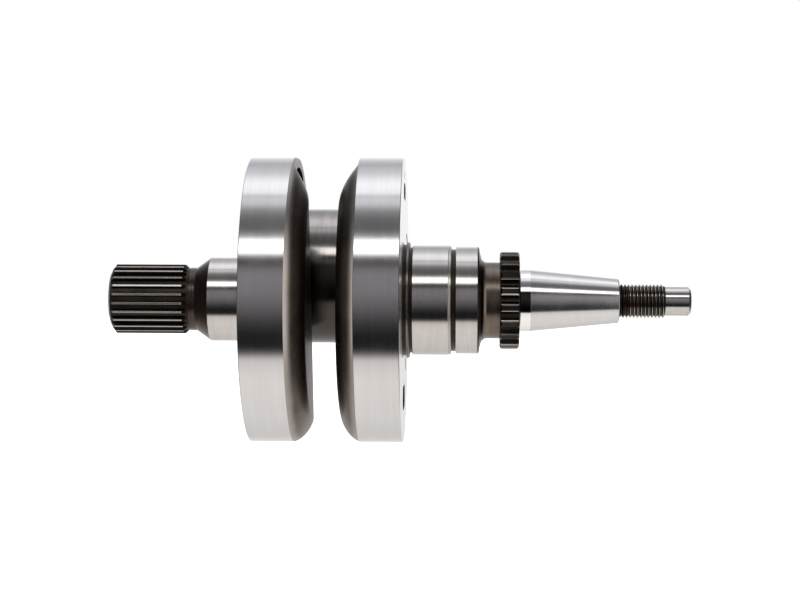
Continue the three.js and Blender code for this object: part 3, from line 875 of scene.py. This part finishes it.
def bigEndCage():
    b = bearing
    low, high = boxAlongX("big_end_cage")
    ring = turned(ringProfile(low, high, b["cageInner"], b["cageOuter"], 0.3), closed=True)
    piece = toObject(ring, "bigEndCage")
    bm = bmesh.new()
    bmesh.ops.create_cube(bm, size=1)
    bmesh.ops.scale(bm, vec=(b["pocketLength"] * mm, b["pocketReach"] * mm, 2 * b["pocketHalf"] * mm),
                    verts=bm.verts)
    acrossEdges = [e for e in bm.edges if abs(e.verts[0].co.y - e.verts[1].co.y) > 1 * mm]
    bmesh.ops.bevel(bm, geom=acrossEdges, offset=0.5 * mm, segments=3, profile=0.5, affect="EDGES",
                    material=-1)
    bmesh.ops.translate(bm, vec=(0, b["pitchRadius"] * mm, 0), verts=bm.verts)
    bmesh.ops.spin(bm, geom=bm.verts[:] + bm.edges[:] + bm.faces[:], cent=(0, 0, 0), axis=(1, 0, 0),
                   angle=2 * math.pi - rollerAngle(1), steps=b["rollers"] - 1, use_duplicate=True)
    combine(piece, toObject(bm, "cutter"), "DIFFERENCE")
    piece.data.transform(Matrix.Translation(pinCentre))
    return finished(piece, "cage", "big_end_cage", ("cage",))


def bigEndRoller(index):
    number = f"{index + 1:02d}"
    node = "big_end_roller_" + number
    low, high = boxAlongX(node)
    r = bearing["roller"]
    bm = turned([(low, 0), (low, r - 0.5), (low + 0.12, r - 0.15), (low + 0.5, r), (high - 0.5, r),
                 (high - 0.12, r - 0.15), (high, r - 0.5), (high, 0)], 40)
    angle = rollerAngle(index)
    outward = Vector((0, math.cos(angle), math.sin(angle))) * bearing["pitchRadius"] * mm
    piece = toObject(moved(bm, pinCentre + outward), "bigEndRoller" + number)
    return finished(piece, "roller_" + number, node, ("roller",))


print("crank halves")
driveHalf()
magnetoHalf()
print("sprocket, pin and washers")
timingSprocket()
plainRing("crankpin", "crankpin", pin["bore"], pin["radius"], pin["chamfer"], "crank",
          "pin", pinCentre)
pinPlug("drivePinPlug", "drive_pin_plug")
pinPlug("magnetoPinPlug", "magneto_pin_plug")
for sideName in ("drive", "magneto"):
    plainRing(sideName + "ThrustWasher", sideName + "_thrust_washer", washer["inner"], washer["outer"],
              washer["chamfer"], sideName + "_washer", "washer", pinCentre)
print("rod and bearing")
connectingRod()
plainRing("smallEndBush", "small_end_bush", bush["inner"], bush["outer"], bush["chamfer"], "rod",
          "bronze", smallEndCentre)
bigEndCage()
for rollerIndex in range(bearing["rollers"]):
    bigEndRoller(rollerIndex)


# Studio: a pale floor, and light that comes in bands round the crank's axis, as from long softboxes

studio = {
    "bands": [  # degrees round X from straight ahead of the camera upwards, and how bright
        (-180, (1.0, 0.98, 0.97)), (-155, (0.86, 0.84, 0.84)), (-143, (0.86, 0.83, 0.81)),
        (-107, (1.06, 1.02, 0.99)), (-67, (1.13, 1.08, 1.04)), (-58, (1.06, 1.01, 0.98)),
        (-50, (0.98, 0.93, 0.90)), (-47, (0.76, 0.72, 0.70)), (-44, (0.20, 0.19, 0.19)),
        (-40, (0.015, 0.015, 0.016)), (-28, (0.02, 0.02, 0.021)), (-18, (0.063, 0.06, 0.063)),
        (-8, (0.16, 0.152, 0.16)), (6, (0.28, 0.265, 0.28)), (19, (0.31, 0.295, 0.315)),
        (24, (0.25, 0.235, 0.25)), (28, (0.08, 0.076, 0.08)), (34.6, (0.08, 0.078, 0.08)),
        (37.6, (2.7, 2.65, 2.6)), (46.9, (2.7, 2.65, 2.6)), (50.4, (0.38, 0.38, 0.38)),
        (57, (0.15, 0.149, 0.15)), (68, (0.21, 0.21, 0.215)), (76, (0.40, 0.40, 0.42)),
        (82, (0.92, 0.91, 0.96)), (88, (1.02, 1.01, 1.06)), (90.6, (0.66, 0.66, 0.70)),
        (93.5, (1.42, 1.42, 1.47)), (106, (1.56, 1.55, 1.60)), (122, (0.92, 0.92, 0.965)),
        (140, (0.61, 0.62, 0.65)), (170, (1.15, 1.15, 1.18)),
    ],
    "sideBands": [  # the same, seen to the left and right
        (-180, (0.9, 0.88, 0.86)), (-62, (0.85, 0.82, 0.79)), (-35, (1.7, 1.64, 1.6)),
        (35, (1.7, 1.64, 1.6)), (70, (0.12, 0.12, 0.13)), (130, (0.12, 0.12, 0.13)), (175, (0.9, 0.9, 0.9)),
    ],
    "dim": (0.07, 0.068, 0.07),
}


def studioWorld():
    world = bpy.data.worlds.new("studio")
    bpy.context.scene.world = world
    world.use_nodes = True
    shade = Shader(world.node_tree)
    x, y, z = shade.split(shade.add("ShaderNodeTexCoord", output=0))
    upward = shade.add("ShaderNodeMath", {"operation": "ARCTAN2"}, [z, y * -1])
    place = upward / (2 * math.pi) + 0.5
    sideways = shade.add("ShaderNodeMath", {"operation": "ABSOLUTE"}, [x])
    light = []
    for key in ("bands", "sideBands"):
        stops = [((degrees + 180) / 360, colour) for degrees, colour in studio[key]]
        light.append(shade.add("ShaderNodeValToRGB", {"stops": stops}, [place]))
    lit = shade.mixColour(sideways.within(0.28, 0.42), *light)
    lit = shade.mixColour(sideways.within(0.60, 0.98), lit, studio["dim"])
    rays = shade.add("ShaderNodeLightPath").socket.node
    forCamera = shade.mixColour(Wire(shade, rays.outputs["Is Camera Ray"]), lit, (1, 1, 1))
    background = shade.add("ShaderNodeBackground", {}, {"Color": forCamera, "Strength": 1.0})
    shade.add("ShaderNodeOutputWorld", {}, {"Surface": background})


def studioFloor():
    bm = bmesh.new()
    bmesh.ops.create_grid(bm, x_segments=1, y_segments=1, size=6)
    bmesh.ops.translate(bm, vec=(0, 0, cadLow.z), verts=bm.verts)
    floor = toObject(bm, "floor")
    material, shade = newMaterial("pale floor")
    grain = shade.noise(shade.objectPlace(), 40.0, detail=2)
    colour = shade.mixColour(grain, (0.90, 0.90, 0.90), (0.93, 0.93, 0.93))
    inputs = {"Base Color": colour, "Roughness": 0.9, "Emission Color": (1, 1, 1), "Emission Strength": 1.0}
    surface = shade.add("ShaderNodeBsdfPrincipled", {}, inputs)
    shade.add("ShaderNodeOutputMaterial", {}, {"Surface": surface})
    floor.data.materials.append(material)
    floor.visible_glossy = False


view = {
    "place": (0.05917, -0.8292, 0.0),
    "target": (0.02947, 0.0, 0.0),
    "lens": 89.2,
    "roll": -0.28,
}


def viewCamera():
    data = bpy.data.cameras.new("camera")
    data.sensor_width = 36
    data.lens = view["lens"]
    data.clip_start = 0.01
    camera = bpy.data.objects.new("camera", data)
    bpy.context.scene.collection.objects.link(camera)
    camera.location = view["place"]
    aim = Vector(view["target"]) - Vector(view["place"])
    turn = Matrix.Rotation(math.radians(view["roll"]), 4, aim)
    camera.rotation_euler = (turn @ aim.to_track_quat("-Z", "Y").to_matrix().to_4x4()).to_euler()
    bpy.context.scene.camera = camera


print("studio")
studioWorld()
studioFloor()
viewCamera()
bpy.context.scene.view_settings.view_transform = "Standard"
